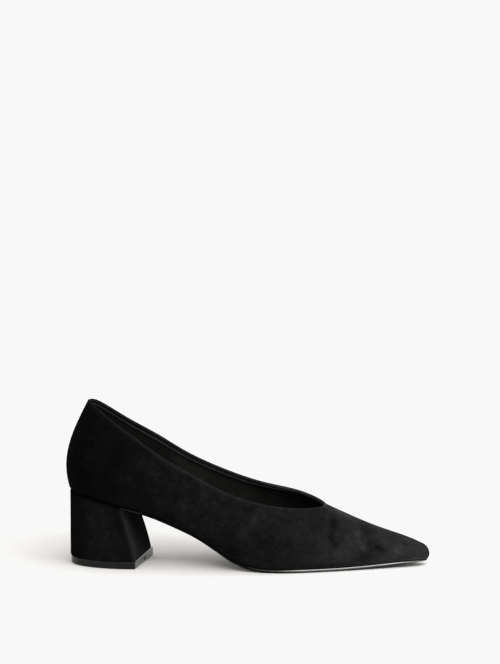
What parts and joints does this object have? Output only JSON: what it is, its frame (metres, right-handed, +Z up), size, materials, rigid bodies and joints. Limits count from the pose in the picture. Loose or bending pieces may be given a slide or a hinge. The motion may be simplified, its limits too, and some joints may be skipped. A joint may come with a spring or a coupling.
{
  "type": "block-heeled pump shoe",
  "caption": "Slip-on pump for the right foot with a pointed toe, a high throat and a covered block heel.",
  "frame": {"origin": "on the floor, under the middle of the shoe's bounding box", "axes": "+X from heel to toe, +Y towards the inside of the right foot, +Z up"},
  "size_m": [0.256, 0.0798, 0.1164],
  "materials": {
    "suede": "napped",
    "sock": "smooth",
    "sole": "satin",
    "heel_cover": "napped",
    "lift": "matte"
  },
  "bodies": {
    "root": {"upper": "suede", "insole": "sock", "outsole": "sole", "heel": "heel_cover", "top_lift": "lift"}
  },
  "joints": []
}
